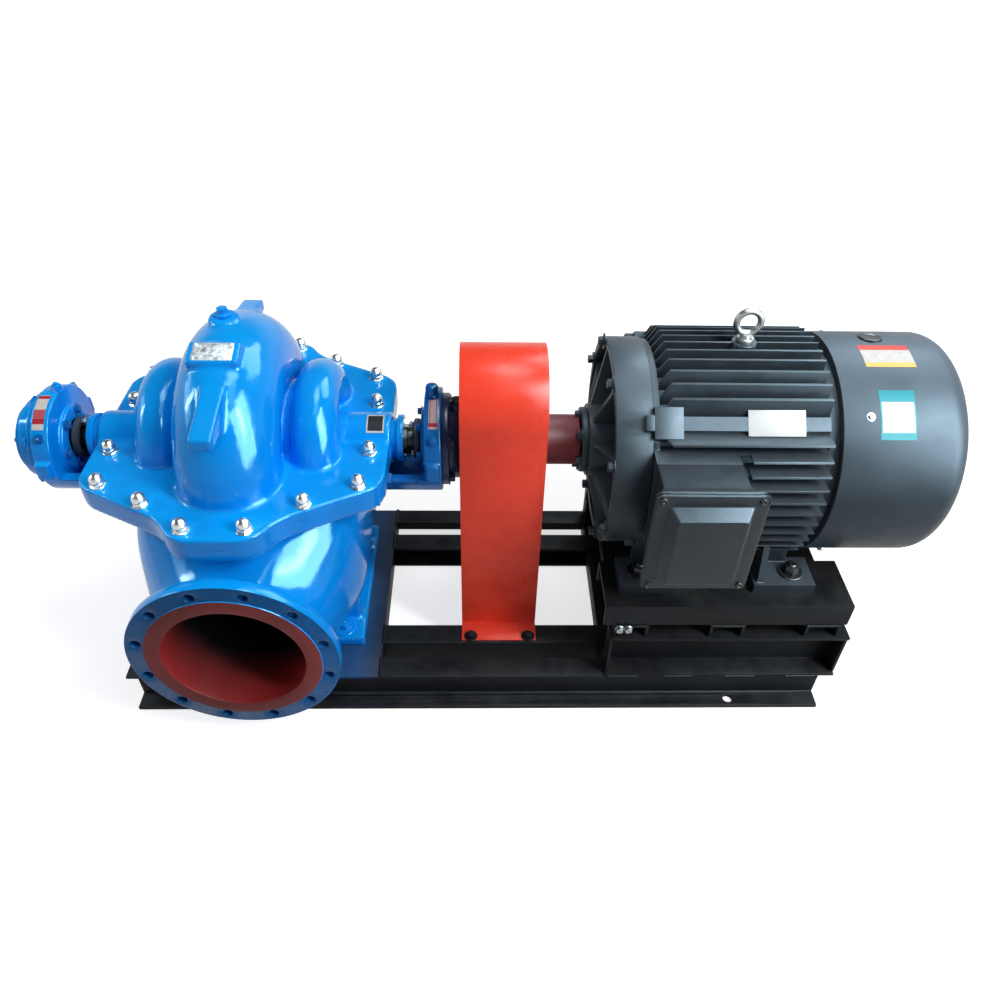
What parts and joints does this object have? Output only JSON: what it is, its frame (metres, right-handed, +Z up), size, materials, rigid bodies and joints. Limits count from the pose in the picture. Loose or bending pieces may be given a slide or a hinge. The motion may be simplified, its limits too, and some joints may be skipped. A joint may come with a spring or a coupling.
{
  "type": "split case pump set",
  "caption": "Horizontally split double-suction centrifugal pump, driven through a guarded pin coupling by a finned electric motor on a common welded steel base.",
  "frame": {"origin": "middle of the four foundation bolt holes, on the underside of the base", "axes": "+X from the pump to the motor along the shaft, +Y from the suction side to the discharge side, +Z up"},
  "size_m": [2.008, 0.83, 0.895],
  "materials": {
    "base_black": "satin black paint",
    "casing_blue": "gloss blue enamel",
    "bracket_blue": "older blue enamel",
    "bearing_navy": "dark navy paint",
    "cup_black": "matte",
    "shaft_steel": "turned",
    "coupling_maroon": "primer",
    "guard_red": "gloss orange-red paint",
    "motor_grey": "satin dark grey paint",
    "cowl_grey": "satin dark grey paint",
    "fan_black": "moulded",
    "bright_zinc": "bright zinc plate"
  },
  "bodies": {
    "root": {"outer_rail_front": "base_black", "outer_rail_back": "base_black", "inner_rail_front": "base_black", "inner_rail_back": "base_black", "cross_members": "base_black", "pump_bed_plate": "base_black", "motor_beam_front": "base_black", "motor_beam_back": "base_black", "beam_stiffeners": "base_black", "pedestal_ties": "base_black", "motor_pad_front": "base_black", "motor_pad_back": "base_black", "lower_casing": "casing_blue", "upper_casing": "casing_blue", "suction_flange": "casing_blue", "discharge_flange": "casing_blue", "vent_plug": "casing_blue", "drive_bracket": "bracket_blue", "outboard_bracket": "casing_blue", "drive_bearing": "bearing_navy", "outboard_bearing": "casing_blue", "outboard_cover": "casing_blue", "oil_cup": "cup_black", "drive_gland": "casing_blue", "outboard_gland": "casing_blue", "coupling_guard": "guard_red", "motor_frame": "motor_grey", "drive_shield": "motor_grey", "motor_bearing_cover": "motor_grey", "rear_shield": "motor_grey", "fan_cowl": "cowl_grey", "terminal_box": "motor_grey", "terminal_cover": "motor_grey", "eye_bolt": "bright_zinc"},
    "rotor": {"pump_shaft": "shaft_steel", "coupling_half_pump": "coupling_maroon", "coupling_half_motor": "coupling_maroon", "coupling_pins": "shaft_steel", "motor_shaft": "shaft_steel", "cooling_fan": "fan_black"}
  },
  "joints": [
    {"name": "rotor_spin", "type": "hinge", "parent": "root", "child": "rotor", "pos_m": [0, 0, 0.56], "axis": [1, 0, 0], "continuous": true}
  ]
}
